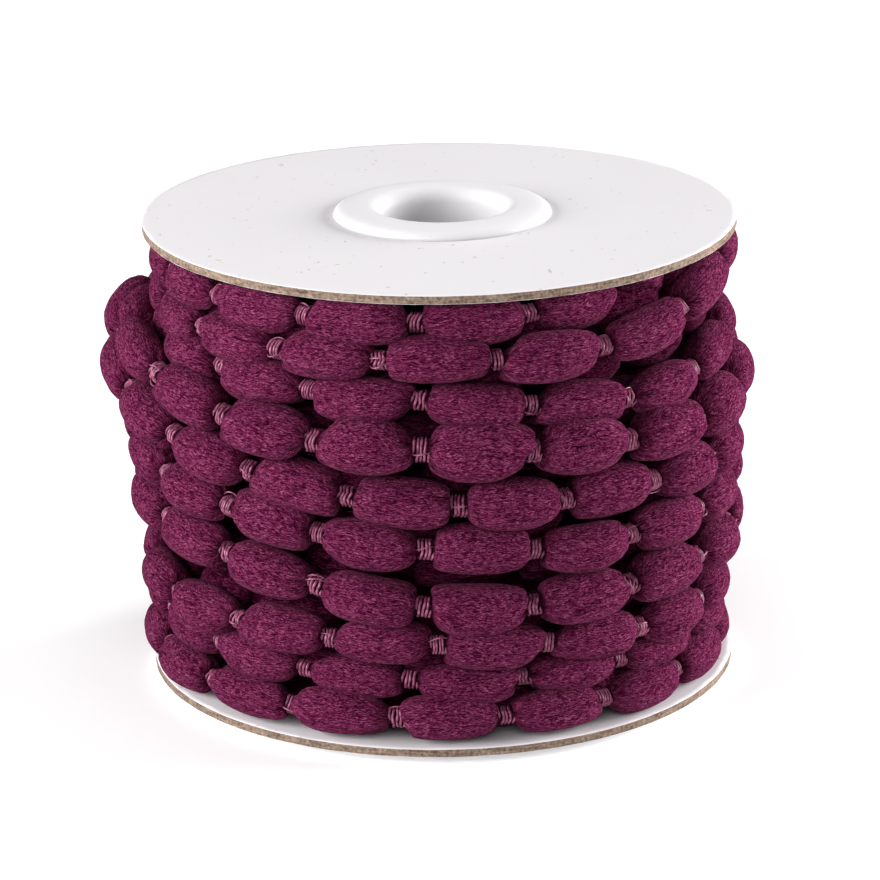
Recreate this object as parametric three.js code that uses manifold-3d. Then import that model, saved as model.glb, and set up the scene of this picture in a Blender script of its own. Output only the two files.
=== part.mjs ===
// Roll of puffed trim wound on a flanged spool that stands on one end.
// Millimetres, spool axis on Z, the floor at zero.
import * as THREE from 'three';
import { mergeVertices } from 'three/addons/utils/BufferGeometryUtils.js';
import Module from 'manifold-3d';

const wasm = await Module();
wasm.setup();

// Spool sizes.
const FIT = 0.3;
const FLANGE_RADIUS = 50;
const BOARD = 1.4;
const FLANGE_SPAN = 78.2;
const COLLAR_RADIUS = 18.6;
const COLLAR_RISE = 1.7;
const COLLAR_ROUND = 1.1;
const TUBE_RADIUS = 12.2;
const BORE_RADIUS = 10.3;
const MOUTH_ROUND = 2;
const ROUND_STEPS = 4;
const FLANGE_SEGMENTS = 96;
const HUB_SEGMENTS = 56;

// Heights up the spool.
const LOWER_FACE = COLLAR_RISE;
const UPPER_FACE = LOWER_FACE + FLANGE_SPAN;
const SPOOL_HEIGHT = UPPER_FACE + COLLAR_RISE;

// Cord sizes.
const CHAIN_PUFFS = 17;
const NECK_RADIUS = 1.9;
const TIP_RADIUS = 1.5;
const TIP_DEGREES = 0.8;
const DRUM_RADIUS = 45;
const DRUM_SEGMENTS = 32;

// Under-side of the cord: pressed into the turns beneath, or left round where it lifts off them.
const BEDDING = 1.4;
const LOOSE_LIFT = 5;
const LOOSE_DEPTH = 0.8;
const LOOSE_WIDTH = 0.6;

// Bearing of the tidy side of the winding about the axis.
const TIDY_SIDE = THREE.MathUtils.degToRad(65);

// Swelling of one puff along its length, as shares of its step and of its full radius.
const SWELLING = [
  { at: 0, share: 0 },
  { at: 0.19, share: 0.88 },
  { at: 0.5, share: 1 },
  { at: 0.81, share: 0.88 },
];

// Outer corners of the cord's section, as shares of its radius. Two bedded corners follow them.
const ARCH = [
  { out: 0, up: -1 },
  { out: 0.9, up: -0.52 },
  { out: 0.9, up: 0.52 },
  { out: 0, up: 1 },
];
const BED = [{ up: 1 }, { up: -1 }];

// Bearings at which each turn is set out, in degrees from the tidy side.
const BEARINGS = {
  back: -150, farLeft: -115, left: -80, midLeft: -40,
  front: 0, midRight: 40, right: 80, farRight: 125,
};

// Turns of the cord from the top down: girth of its puffs, bearing of one neck, height of the centre
// line above the lower flange's outer face, and its distance from the axis.
const TURNS = {
  a: {
    girth: 7.6,
    neck: -4.5,
    height: {
      back: 72.3, farLeft: 72.2, left: 72, midLeft: 72.4,
      front: 72.6, midRight: 72.5, right: 72, farRight: 71.6,
    },
    reach: {
      back: 47, farLeft: 45.5, left: 44.8, midLeft: 45.5,
      front: 46, midRight: 41.5, right: 37, farRight: 36,
    },
  },
  b: {
    girth: 7.9,
    neck: -11.4,
    height: {
      back: 65.5, farLeft: 66.5, left: 66.2, midLeft: 66.4,
      front: 66.6, midRight: 66.7, right: 71.6, farRight: 72.4,
    },
    reach: {
      back: 46.5, farLeft: 45.5, left: 45.3, midLeft: 46.8,
      front: 47.6, midRight: 47.2, right: 46.2, farRight: 46.4,
    },
  },
  c: {
    girth: 7.7,
    neck: -3.9,
    height: {
      back: 64.5, farLeft: 63.5, left: 61.8, midLeft: 60.5,
      front: 59.7, midRight: 56.3, right: 57.8, farRight: 60.4,
    },
    reach: {
      back: 40, farLeft: 42, left: 45, midLeft: 46,
      front: 46.8, midRight: 46.6, right: 46.6, farRight: 47.4,
    },
  },
  d: {
    girth: 9.7,
    neck: -3.7,
    height: {
      back: 63, farLeft: 61.5, left: 59.6, midLeft: 53.6,
      front: 52.1, midRight: 49.9, right: 49, farRight: 51.8,
    },
    reach: {
      back: 40, farLeft: 46.5, left: 51.4, midLeft: 49.3,
      front: 48.8, midRight: 48.6, right: 48.4, farRight: 50.4,
    },
  },
  e: {
    girth: 8.6,
    neck: 3.2,
    height: {
      back: 58, farLeft: 58.1, left: 50.5, midLeft: 45.3,
      front: 42.5, midRight: 41.6, right: 40, farRight: 42,
    },
    reach: {
      back: 49, farLeft: 55.6, left: 52, midLeft: 48.4,
      front: 47.8, midRight: 47.6, right: 47.6, farRight: 48.6,
    },
  },
  f: {
    girth: 8.3,
    neck: -3.2,
    height: {
      back: 46, farLeft: 43, left: 40, midLeft: 38,
      front: 34.9, midRight: 33.5, right: 33, farRight: 34.4,
    },
    reach: {
      back: 48, farLeft: 49.5, left: 49.8, midLeft: 48.4,
      front: 47.8, midRight: 47.8, right: 48, farRight: 48,
    },
  },
  g: {
    girth: 8.3,
    neck: -3.7,
    height: {
      back: 37, farLeft: 34, left: 32, midLeft: 29.6,
      front: 25.1, midRight: 24.9, right: 25, farRight: 26,
    },
    reach: {
      back: 48, farLeft: 49, left: 49.3, midLeft: 48.5,
      front: 48.1, midRight: 48.1, right: 48.3, farRight: 48.1,
    },
  },
  h: {
    girth: 7.7,
    neck: -1.1,
    height: {
      back: 27, farLeft: 21, left: 18, midLeft: 18.4,
      front: 18.6, midRight: 16.5, right: 15.6, farRight: 16.7,
    },
    reach: {
      back: 47.8, farLeft: 48.2, left: 48.2, midLeft: 47.5,
      front: 47.6, midRight: 47.2, right: 46.6, farRight: 46.8,
    },
  },
  i: {
    girth: 7.5,
    neck: -6.8,
    height: {
      back: 18.5, farLeft: 14.5, left: 12.8, midLeft: 12,
      front: 11.7, midRight: 11.1, right: 11, farRight: 10.9,
    },
    reach: {
      back: 47.3, farLeft: 47.2, left: 46.9, midLeft: 45.7,
      front: 45.3, midRight: 45.2, right: 45.3, farRight: 45.8,
    },
  },
  j: {
    girth: 7.5,
    neck: -9.4,
    height: {
      back: 10, farLeft: 6.5, left: 5.6, midLeft: 5.5,
      front: 5.5, midRight: 5.5, right: 5.5, farRight: 5.5,
    },
    reach: {
      back: 47, farLeft: 47.4, left: 47.7, midLeft: 47,
      front: 46.8, midRight: 46.5, right: 45.8, farRight: 44.5,
    },
  },
};

// Runs of unbroken cord, with the usual length from neck to neck. Each begins and ends tucked under
// the turns beside it.
const RUNS = [
  {
    turns: ['c', 'b', 'a'],
    step: 18.4,
    from: -110,
    to: 70,
    firstGirth: 7.6,
    endHeight: 71,
    endReach: 34,
  },
  {
    turns: ['d', 'e', 'f', 'g', 'h', 'i', 'j'],
    step: 17.6,
    from: -125,
    to: 140,
    firstGirth: 7.4,
    endHeight: 5.5,
    endReach: 42,
  },
];

// Closed geometry to a solid, and back.
function solidFrom(geometry) {
  const shell = geometry.clone();
  shell.deleteAttribute('normal');
  shell.deleteAttribute('uv');
  const welded = mergeVertices(shell, 1e-4);
  return new wasm.Manifold(new wasm.Mesh({
    numProp: 3,
    vertProperties: new Float32Array(welded.attributes.position.array),
    triVerts: new Uint32Array(welded.index.array),
  }));
}

function geometryFrom(solid) {
  const mesh = solid.getMesh();
  const geometry = new THREE.BufferGeometry();
  geometry.setAttribute('position', new THREE.BufferAttribute(new Float32Array(mesh.vertProperties), 3));
  geometry.setIndex(new THREE.BufferAttribute(new Uint32Array(mesh.triVerts), 1));
  geometry.computeVertexNormals();
  return geometry;
}

// Rings turned about the axis from a closed profile.
function turned(profile, segments) {
  const closed = [...profile, profile[0]].map(([radius, height]) => new THREE.Vector2(radius, height));
  return new THREE.LatheGeometry(closed, segments).rotateX(Math.PI / 2);
}

function ring(low, high, inner, outer, segments) {
  return turned([[inner, low], [outer, low], [outer, high], [inner, high]], segments);
}

function quarterRound(radius, height, size, fromAngle) {
  return Array.from({ length: ROUND_STEPS + 1 }, (_, step) => {
    const angle = fromAngle + (Math.PI / 2) * (step / ROUND_STEPS);
    return [radius + size * Math.cos(angle), height + size * Math.sin(angle)];
  });
}

// Hub: a tube with a rounded collar at each end and a softened bore mouth.
function hubProfile() {
  const neckLow = COLLAR_RISE - FIT;
  const neckHigh = SPOOL_HEIGHT - neckLow;
  const edge = COLLAR_RADIUS - COLLAR_ROUND;
  const mouth = BORE_RADIUS + MOUTH_ROUND;
  return [
    ...quarterRound(mouth, MOUTH_ROUND, MOUTH_ROUND, Math.PI),
    ...quarterRound(edge, COLLAR_ROUND, COLLAR_ROUND, -Math.PI / 2),
    [COLLAR_RADIUS, neckLow],
    [TUBE_RADIUS, neckLow],
    [TUBE_RADIUS, neckHigh],
    [COLLAR_RADIUS, neckHigh],
    ...quarterRound(edge, SPOOL_HEIGHT - COLLAR_ROUND, COLLAR_ROUND, 0),
    ...quarterRound(mouth, SPOOL_HEIGHT - MOUTH_ROUND, MOUTH_ROUND, Math.PI / 2),
  ];
}

// Smooth course of a run through its stations, by total degrees turned.
function courseOf(run) {
  const stations = run.turns.flatMap((turn, lap) => Object.keys(BEARINGS).map((bearing) => ({
    degrees: 360 * lap + BEARINGS[bearing],
    height: TURNS[turn].height[bearing],
    reach: TURNS[turn].reach[bearing],
  })));
  stations.push({
    degrees: 360 * run.turns.length + BEARINGS.back,
    height: run.endHeight,
    reach: run.endReach,
  });
  const slope = (index, key) => {
    const before = stations[Math.max(index - 1, 0)];
    const after = stations[Math.min(index + 1, stations.length - 1)];
    return (after[key] - before[key]) / (after.degrees - before.degrees);
  };
  const blend = (index, share, key) => {
    const span = stations[index + 1].degrees - stations[index].degrees;
    const square = share * share;
    const cube = square * share;
    return (2 * cube - 3 * square + 1) * stations[index][key]
      + (cube - 2 * square + share) * span * slope(index, key)
      + (3 * square - 2 * cube) * stations[index + 1][key]
      + (cube - square) * span * slope(index + 1, key);
  };
  return (degrees) => {
    const found = stations.findIndex((station) => station.degrees > degrees);
    const index = (found < 0 ? stations.length - 1 : Math.max(found, 1)) - 1;
    const start = stations[index].degrees;
    const share = (degrees - start) / (stations[index + 1].degrees - start);
    const reach = blend(index, share, 'reach');
    const height = LOWER_FACE + blend(index, share, 'height');
    const angle = TIDY_SIDE + THREE.MathUtils.degToRad(degrees);
    return new THREE.Vector3(reach * Math.sin(angle), -reach * Math.cos(angle), height);
  };
}

// Value at a place in a rising list of places, on straight lines between them.
function between(places, values, place) {
  const found = places.findIndex((each) => each >= place);
  const index = found < 0 ? places.length - 1 : Math.max(found, 1);
  const share = (place - places[index - 1]) / (places[index] - places[index - 1]);
  return THREE.MathUtils.lerp(values[index - 1], values[index], share);
}

// Necks of a run, by total degrees: even steps of cord between the known neck of each turn.
function necksOf(run, course) {
  const finish = 360 * (run.turns.length - 1) + run.to;
  const degrees = [run.from];
  const lengths = [0];
  while (degrees.at(-1) < finish) {
    const advance = course(degrees.at(-1) + 1).distanceTo(course(degrees.at(-1)));
    lengths.push(lengths.at(-1) + advance);
    degrees.push(degrees.at(-1) + 1);
  }
  const known = run.turns.map((turn, lap) => between(degrees, lengths, 360 * lap + TURNS[turn].neck));
  const steps = [];
  for (let length = known[0] - run.step; length > 0; length -= run.step) {
    steps.unshift(length);
  }
  for (let lap = 0; lap < known.length - 1; lap += 1) {
    const count = Math.round((known[lap + 1] - known[lap]) / run.step);
    for (let step = 0; step < count; step += 1) {
      steps.push(THREE.MathUtils.lerp(known[lap], known[lap + 1], step / count));
    }
  }
  for (let length = known.at(-1); length < lengths.at(-1); length += run.step) {
    steps.push(length);
  }
  return steps.map((length) => between(lengths, degrees, length));
}

// Sections of a chain of puffs: where each stands on the course and its radius.
function sectionsOf(run, necks) {
  const laps = [run.from, ...run.turns.map((turn, lap) => 360 * lap)];
  const girths = [run.firstGirth, ...run.turns.map((turn) => TURNS[turn].girth)];
  const sections = [{ degrees: necks[0] - TIP_DEGREES, radius: TIP_RADIUS }];
  for (let count = 0; count < necks.length - 1; count += 1) {
    const step = necks[count + 1] - necks[count];
    const middle = Math.min(necks[count] + step / 2, laps.at(-1));
    const gain = between(laps, girths, middle) / 2 - NECK_RADIUS;
    for (const { at, share } of SWELLING) {
      sections.push({ degrees: necks[count] + at * step, radius: NECK_RADIUS + share * gain });
    }
  }
  sections.push({ degrees: necks.at(-1) + TIP_DEGREES, radius: TIP_RADIUS });
  return sections;
}

// Corners of one section, as distances out from the axis and up across the cord.
function cornersOf(reach, radius) {
  const lift = reach - DRUM_RADIUS;
  const loose = lift > LOOSE_LIFT;
  const depth = loose ? LOOSE_DEPTH * radius : Math.max(lift, 0) + BEDDING;
  const width = loose ? LOOSE_WIDTH * radius : radius;
  return [
    ...ARCH.map(({ out, up }) => ({ out: out * radius, up: up * radius })),
    ...BED.map(({ up }) => ({ out: -depth, up: up * width })),
  ];
}

// Closed chain of puffs swept along the course.
function chain(course, sections) {
  const points = [];
  const faces = [];
  const sides = ARCH.length + BED.length;
  const index = (row, side) => row * sides + (side % sides);
  sections.forEach(({ degrees, radius }, row) => {
    const centre = course(degrees);
    const along = course(degrees + 0.5).sub(course(degrees - 0.5)).normalize();
    const radial = new THREE.Vector3(centre.x, centre.y, 0);
    const up = new THREE.Vector3().crossVectors(radial, along).normalize();
    const out = new THREE.Vector3().crossVectors(along, up);
    cornersOf(radial.length(), radius).forEach((corner, side) => {
      const point = centre.clone().addScaledVector(out, corner.out).addScaledVector(up, corner.up);
      points.push(...point.toArray());
      if (row > 0) {
        faces.push(index(row - 1, side), index(row, side + 1), index(row - 1, side + 1));
        faces.push(index(row - 1, side), index(row, side), index(row, side + 1));
      }
    });
  });
  const end = sections.length - 1;
  for (let side = 1; side < sides - 1; side += 1) {
    faces.push(index(0, 0), index(0, side), index(0, side + 1));
    faces.push(index(end, 0), index(end, side + 1), index(end, side));
  }
  const geometry = new THREE.BufferGeometry();
  geometry.setAttribute('position', new THREE.Float32BufferAttribute(points, 3));
  geometry.setIndex(faces);
  return geometry;
}

// Wound trim: a drum of inner turns with the outer turns of puffs bedded on it.
function windingGeometry() {
  const low = LOWER_FACE + BOARD + FIT;
  const high = UPPER_FACE - BOARD - FIT;
  let winding = solidFrom(ring(low, high, TUBE_RADIUS + FIT, DRUM_RADIUS, DRUM_SEGMENTS));
  for (const run of RUNS) {
    const course = courseOf(run);
    const necks = necksOf(run, course);
    for (let start = 0; start < necks.length - 1; start += CHAIN_PUFFS) {
      const part = necks.slice(start, start + CHAIN_PUFFS + 1);
      winding = winding.add(solidFrom(chain(course, sectionsOf(run, part))));
    }
  }
  return geometryFrom(winding);
}

function flangeGeometry(low) {
  return ring(low, low + BOARD, TUBE_RADIUS + FIT, FLANGE_RADIUS, FLANGE_SEGMENTS);
}

function piece(name, geometry, look) {
  const mesh = new THREE.Mesh(geometry, new THREE.MeshStandardMaterial(look));
  mesh.name = name;
  return mesh;
}

const WHITE_PAPER = { color: 0xece9eb, roughness: 0.7, metalness: 0 };
const WHITE_PLASTIC = { color: 0xf2f0f2, roughness: 0.4, metalness: 0 };
const PLUM_FIBRE = { color: 0x722a52, roughness: 0.95, metalness: 0 };

const roll = new THREE.Group();
roll.name = 'trim_spool';
roll.add(piece('flange_bottom', flangeGeometry(LOWER_FACE), WHITE_PAPER));
roll.add(piece('flange_top', flangeGeometry(UPPER_FACE - BOARD), WHITE_PAPER));
roll.add(piece('hub', turned(hubProfile(), HUB_SEGMENTS), WHITE_PLASTIC));
roll.add(piece('trim_roll', windingGeometry(), PLUM_FIBRE));

export default roll;
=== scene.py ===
# %% [markdown]
# # A roll of puffed trim on a flanged spool
#
# The object stands on one end: two round boards faced with white paper, a white
# moulded hub that holds them, and a plum cord wound between them. The cord is a
# brushed tube of fibre tied tight with thread at even steps, so it looks like a
# string of long soft beads. The packed model gives the frame, and every piece
# below is made in that frame, in metres, and carried by its one body.

# %% Load the packed frame
import bpy
import numpy as np
from mathutils import Matrix, Vector


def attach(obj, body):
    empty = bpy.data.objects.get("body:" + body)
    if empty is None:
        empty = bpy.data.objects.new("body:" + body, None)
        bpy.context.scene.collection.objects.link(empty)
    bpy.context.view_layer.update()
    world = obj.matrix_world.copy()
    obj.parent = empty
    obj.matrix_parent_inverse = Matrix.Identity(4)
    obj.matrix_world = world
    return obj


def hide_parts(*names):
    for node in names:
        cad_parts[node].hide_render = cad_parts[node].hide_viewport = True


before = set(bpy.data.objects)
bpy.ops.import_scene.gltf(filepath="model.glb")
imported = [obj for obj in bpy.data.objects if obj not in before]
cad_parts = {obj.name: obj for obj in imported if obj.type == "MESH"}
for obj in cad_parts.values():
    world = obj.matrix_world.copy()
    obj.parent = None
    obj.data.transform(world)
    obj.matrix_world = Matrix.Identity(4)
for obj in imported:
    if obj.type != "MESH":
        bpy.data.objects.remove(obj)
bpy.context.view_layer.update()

MM = 0.001

# %% [markdown]
# ## Sizes
#
# These are the sizes of the spool in millimetres, the same as in the solids. They
# could be measured on the packed solids, but as named values they keep each cell
# readable. The tidy side is the bearing that faces the camera, counted from -Y
# towards +X. One seeded source of chance gives the same winding on every run.

# %% Sizes of the spool
FLANGE_RADIUS = 50.0
BOARD = 1.4
SPOOL_HEIGHT = 81.6
LOWER_FACE = 1.7
UPPER_FACE = SPOOL_HEIGHT - LOWER_FACE
COLLAR_RADIUS = 18.4
TUBE_RADIUS = 12.2
BORE_RADIUS = 10.3
MOUTH_ROUND = 2.6
HUB_LEAN = 0.8
FIT = 0.3
TIDY_SIDE = 65.0
RIGHT = np.array([np.cos(np.radians(TIDY_SIDE)), np.sin(np.radians(TIDY_SIDE)), 0.0])
SEED = 20
chance = np.random.default_rng(SEED)
print("spool", 2 * FLANGE_RADIUS, "mm across and", SPOOL_HEIGHT, "mm high")

# %% [markdown]
# ## Meshes from arrays
#
# Everything here is a tube, a ring or a ribbon, so one grid of rows and sides
# serves for all of it. Modelling tools could shape the pieces one by one, but
# building the points as arrays and making each mesh once is much quicker. Each grid
# keeps a map called "lay", about in millimetres along and around it, so that fibre
# can follow the piece.

# %% Grids
FULL = 2 * np.pi


def circle(sides):
    """Even angles round a full turn."""
    return FULL * np.arange(sides) / sides


def closed(angle):
    """The same angles, with the first one again a full turn on."""
    return np.append(angle, angle[0] + FULL)


def unit(vectors):
    """Vectors of length one in the same directions."""
    return vectors / np.linalg.norm(vectors, axis=-1, keepdims=True)


def lengths_along(path):
    """Length of a path from its start to each of its points."""
    return np.append(0, np.cumsum(np.linalg.norm(np.diff(path, axis=0), axis=-1)))


def grid_quads(rows, sides, seam=True):
    """Faces of a grid whose sides close on themselves if seam is set."""
    steps = sides if seam else sides - 1
    i, j = np.meshgrid(np.arange(rows - 1), np.arange(steps), indexing="ij")
    k = (j + 1) % sides
    corners = [i * sides + j, (i + 1) * sides + j, (i + 1) * sides + k, i * sides + k]
    return np.stack(corners, -1).reshape(-1, 4)


def grid_lay(along, around):
    """The lay at the corners of the same faces. Around has one value more than there are sides."""
    i, j = np.meshgrid(np.arange(len(along) - 1), np.arange(len(around) - 1), indexing="ij")
    pairs = [(i, j), (i + 1, j), (i + 1, j + 1), (i, j + 1)]
    return np.stack([np.stack([along[a], around[b]], -1) for a, b in pairs], -2).reshape(-1, 2)


def flipped(lay):
    """The lay of the same faces with their corners in the other order."""
    return lay.reshape(-1, 4, 2)[:, ::-1].reshape(-1, 2)


def joined(parts):
    """Several (points, faces, lay) as one."""
    starts = np.cumsum([0] + [len(points) for points, _, _ in parts[:-1]])
    return (
        np.concatenate([points for points, _, _ in parts]),
        np.concatenate([faces + start for (_, faces, _), start in zip(parts, starts)]),
        np.concatenate([lay for _, _, lay in parts]),
    )


print("a 3 by 4 grid has", len(grid_quads(3, 4)), "faces")


# %% Tubes and rings
def cap_quads(row, sides, turned):
    """Faces that close one end of a tube, as strips across its last row."""
    j = np.arange(sides // 2 - 1)
    faces = np.stack([j, j + 1, sides - 2 - j, sides - 1 - j], -1) + row * sides
    return faces[:, ::-1] if turned else faces


def cap_lay(sides):
    """The lay of both ends of a tube, all at one spot, as they hardly show."""
    return np.zeros((2 * 4 * (sides // 2 - 1), 2))


def tube_faces(rows, sides, turned):
    """Faces of a tube closed at both ends, the other way round if turned is set."""
    wall = grid_quads(rows, sides)
    return np.concatenate([
        wall[:, ::-1] if turned else wall,
        cap_quads(0, sides, turned),
        cap_quads(rows - 1, sides, not turned),
    ])


def ring_faces(rows, steps):
    """Faces of a profile turned about the axis, whose last row meets its first."""
    return grid_quads(rows + 1, steps)[:, ::-1] % (rows * steps)


def spokes(angle, out, up):
    """Directions at these angles, from out towards up."""
    return np.cos(angle)[:, None] * out + np.sin(angle)[:, None] * up


print("a tube of 3 rows and 6 sides has", len(tube_faces(3, 6, False)), "faces")

# %% [markdown]
# ## Pieces
#
# A piece is one mesh object with its finishes. Each point may also have a "shade",
# which is painted shade: 0 in the open, and towards 1 where shade falls, deep in a
# fold of the fibre or on a steep wall of the hub. It is worked out from the shape,
# which costs nothing in the render, while real shadow between fibres would need them all.


# %% Pieces
def new_piece(name, grid, finishes, picked=None, shade=None):
    """One mesh object from a grid in millimetres, carried by the body of the part."""
    points, faces, lay = grid
    mesh = bpy.data.meshes.new(name)
    mesh.vertices.add(len(points))
    mesh.vertices.foreach_set("co", (points * MM).astype(np.float32).ravel())
    mesh.loops.add(faces.size)
    mesh.loops.foreach_set("vertex_index", faces.astype(np.int32).ravel())
    mesh.polygons.add(len(faces))
    mesh.polygons.foreach_set("loop_start", np.arange(0, faces.size, 4, dtype=np.int32))
    for finish in finishes:
        mesh.materials.append(finish)
    if picked is not None:
        mesh.polygons.foreach_set("material_index", picked.astype(np.int32))
    mesh.uv_layers.new(name="lay").data.foreach_set("uv", lay.astype(np.float32).ravel())
    # The shade attribute holds painted shade for the finishes to read.
    if shade is not None:
        values = mesh.attributes.new("shade", "FLOAT", "POINT").data
        values.foreach_set("value", shade.astype(np.float32).ravel())
    mesh.update(calc_edges=True)
    mesh.validate()
    mesh.shade_smooth()
    piece = bpy.data.objects.new(name, mesh)
    bpy.context.scene.collection.objects.link(piece)
    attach(piece, "root")
    return piece


print("pieces will have a lay, and a shade where one is given")

# %% [markdown]
# ## Shader maths
#
# A finish is a tree of nodes. It could be wired by hand, node by node, but sums are
# hard to read that way. One small class wraps a socket, so that sums of values read
# as sums, and one method adds any other node: its settings first, then the values
# or links of its sockets.

# %% Shader helper
# A Mix node has sockets for each kind of data. These are the ones for colours.
MIX_FACTOR, MIX_FIRST, MIX_SECOND, MIX_RESULT = 0, 6, 7, 2


def set_stops(elements, stops):
    """Give a colour ramp these stops and no others."""
    for spare in list(elements)[1:]:
        elements.remove(spare)
    for count, (place, colour) in enumerate(stops):
        stop = elements[0] if count == 0 else elements.new(place)
        stop.position = place
        stop.color = (*colour, 1.0)


class Wire:
    """A socket of a shader tree that takes part in arithmetic."""

    def __init__(self, tree, socket=None):
        self.tree = tree
        self.socket = socket

    def node(self, kind, settings=None, sockets=None, out=0):
        """A new node, seen at one of its outputs."""
        made = self.tree.nodes.new(kind)
        for name, value in (settings or {}).items():
            if name == "stops":
                set_stops(made.color_ramp.elements, value)
            else:
                setattr(made, name, value)
        for name, value in (sockets or {}).items():
            if isinstance(value, Wire):
                self.tree.links.new(value.socket, made.inputs[name])
            else:
                made.inputs[name].default_value = value
        return Wire(self.tree, made.outputs[out] if len(made.outputs) else None)

    def maths(self, operation, first, second):
        return self.node("ShaderNodeMath", {"operation": operation}, {0: first, 1: second})

    def __add__(self, other):
        return self.maths("ADD", self, other)

    def __radd__(self, other):
        return self.maths("ADD", other, self)

    def __sub__(self, other):
        return self.maths("SUBTRACT", self, other)

    def __rsub__(self, other):
        return self.maths("SUBTRACT", other, self)

    def __mul__(self, other):
        return self.maths("MULTIPLY", self, other)

    def __rmul__(self, other):
        return self.maths("MULTIPLY", other, self)

    def most(self, other):
        """The larger of two values."""
        return self.maths("MAXIMUM", self, other)

    def stretched(self, shares):
        """A vector scaled along each axis."""
        return self.node("ShaderNodeVectorMath", {"operation": "MULTIPLY"}, {0: self, 1: shares})

    def moved(self, offset):
        """A vector with another added to it."""
        return self.node("ShaderNodeVectorMath", {"operation": "ADD"}, {0: self, 1: offset})

    def turned(self, angle):
        """A vector turned in the plane of the map."""
        values = {"Vector": self, "Angle": angle}
        return self.node("ShaderNodeVectorRotate", {"rotation_type": "Z_AXIS"}, values)

    def noise(self, scale, detail=2.0, roughness=0.5, out="Fac"):
        """Soft noise read at this place."""
        values = {"Vector": self, "Scale": scale, "Detail": detail, "Roughness": roughness}
        return self.node("ShaderNodeTexNoise", {}, values, out)

    def band(self, low, high):
        """This value taken from low..high to 0..1 and kept there."""
        values = {"Value": self, "From Min": low, "From Max": high}
        return self.node("ShaderNodeMapRange", {"clamp": True}, values)

    def ramp(self, stops):
        """The colour of a ramp at this value."""
        return self.node("ShaderNodeValToRGB", {"stops": stops}, {"Fac": self})

    def mixed(self, first, second):
        """The first colour where this is 0 and the second where it is 1."""
        ends = [end if isinstance(end, Wire) else (*end, 1.0) for end in (first, second)]
        values = {MIX_FACTOR: self, MIX_FIRST: ends[0], MIX_SECOND: ends[1]}
        return self.node("ShaderNodeMix", {"data_type": "RGBA"}, values, MIX_RESULT)

    def bump(self, strength, distance):
        """The normal of a surface that this value raises, by a distance in metres."""
        values = {"Strength": strength, "Distance": distance, "Height": self}
        return self.node("ShaderNodeBump", {}, values)


def new_finish(name, build):
    """A material whose surface comes from build, which is given an empty wire."""
    material = bpy.data.materials.new(name)
    material.use_nodes = True
    material.node_tree.nodes.clear()
    start = Wire(material.node_tree)
    start.node("ShaderNodeOutputMaterial", {}, {"Surface": build(start)})
    return material


def piece_lay(start):
    """Millimetres along and around the piece."""
    return start.node("ShaderNodeUVMap", {"uv_map": "lay"})


def piece_place(start):
    """Metres in the frame of the piece."""
    return start.node("ShaderNodeTexCoord", out="Object")


def piece_shade(start):
    """The painted shade that is set at each point of the piece."""
    return start.node("ShaderNodeAttribute", {"attribute_name": "shade"}, out="Fac")


print("shader helper ready:", [name for name in vars(Wire) if not name.startswith("_")])

# %% [markdown]
# ## Brushed fibre
#
# The puffs are brushed: short fine hairs lie about along the cord, some paler and
# some darker, with small dark cracks between the locks and a few long creases. A
# particle system could grow the hairs, but they would outgrow the model. So they
# are drawn in colour and bump instead: three layers of stretched noise that cross
# at small angles, a fine grain, and cells for single locks. The dark cracks and
# creases are painted shade, and the painted shade of the piece deepens the cracks
# and darkens the gathered ends.

# %% Brushed fibre
# Tones of the fibre from dark to pale. The pale, greyer top is partly the hairs' own tone and partly painted
# sheen.
FIBRE_TONES = (
    (0.0, (0.018, 0.0001, 0.0048)),
    (0.25, (0.067, 0.0045, 0.0267)),
    (0.5, (0.113, 0.0158, 0.0515)),
    (0.75, (0.173, 0.0335, 0.0835)),
    (1.0, (0.308, 0.089, 0.169)),
)
# The colour of painted shade, in the cracks, the creases and the gathered ends.
PAINTED_SHADE_PLUM = (0.014, 0.0002, 0.0045)
NAP_TINT = (1.0, 0.55, 0.78, 1.0)
HAIR_ANGLES = (0.24, 0.02, -0.20)
LOCK_ANGLE = 0.03
CRACK_ANGLE = 0.06
# How many a millimetre, along and around the cord.
SWAY_PITCH = 0.32
HAIR_PITCH = (1.1, 6.4, 1.0)
TUFT_PITCH = (0.16, 0.45, 1.0)
GRAIN_PITCH = (3.0, 5.0, 1.0)
LOCK_PITCH = (1.7, 5.8, 1.0)
CREASE_PITCH = (0.12, 0.75, 1.0)
CRACK_PITCH = (0.4, 2.0, 1.0)
# How wide the lines are, how often they come and go, and where their patches start.
CREASE_WIDTH, CREASE_PATCH, CREASE_START = 0.0006, 0.35, (70.0, 30.0, 0.0)
CRACK_WIDTH, CRACK_PATCH, CRACK_START = 0.0025, 0.9, (20.0, 90.0, 0.0)


def swayed(lay):
    """The lay with a slow wander across the hairs."""
    sway = lay.noise(SWAY_PITCH, 1.0, out="Color")
    return lay.moved(sway.moved((-0.5, -0.5, -0.5)).stretched((0.0, 1.3, 0.0)))


def crossed_hairs(bent):
    """The paler of three layers of hairs that cross at small angles."""
    first, second, third = [
        bent.turned(angle).stretched(HAIR_PITCH).noise(1.0, 2.0, 0.65) for angle in HAIR_ANGLES
    ]
    return first.most(second.most(third))


def single_locks(bent):
    """A random value for each of many small long cells."""
    place = bent.turned(LOCK_ANGLE).stretched(LOCK_PITCH)
    values = {"Vector": place, "Scale": 1.0}
    cells = place.node("ShaderNodeTexVoronoi", {"voronoi_dimensions": "2D"}, values, "Color")
    return cells.node("ShaderNodeRGBToBW", {}, {"Color": cells})


def thin_lines(place, width):
    """1 along thin lines, where a noise passes its middle value, and 0 beside them."""
    level = place.noise(1.0, 1.0) - 0.5
    return 1 - (level * level).band(0.0, width)


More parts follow.
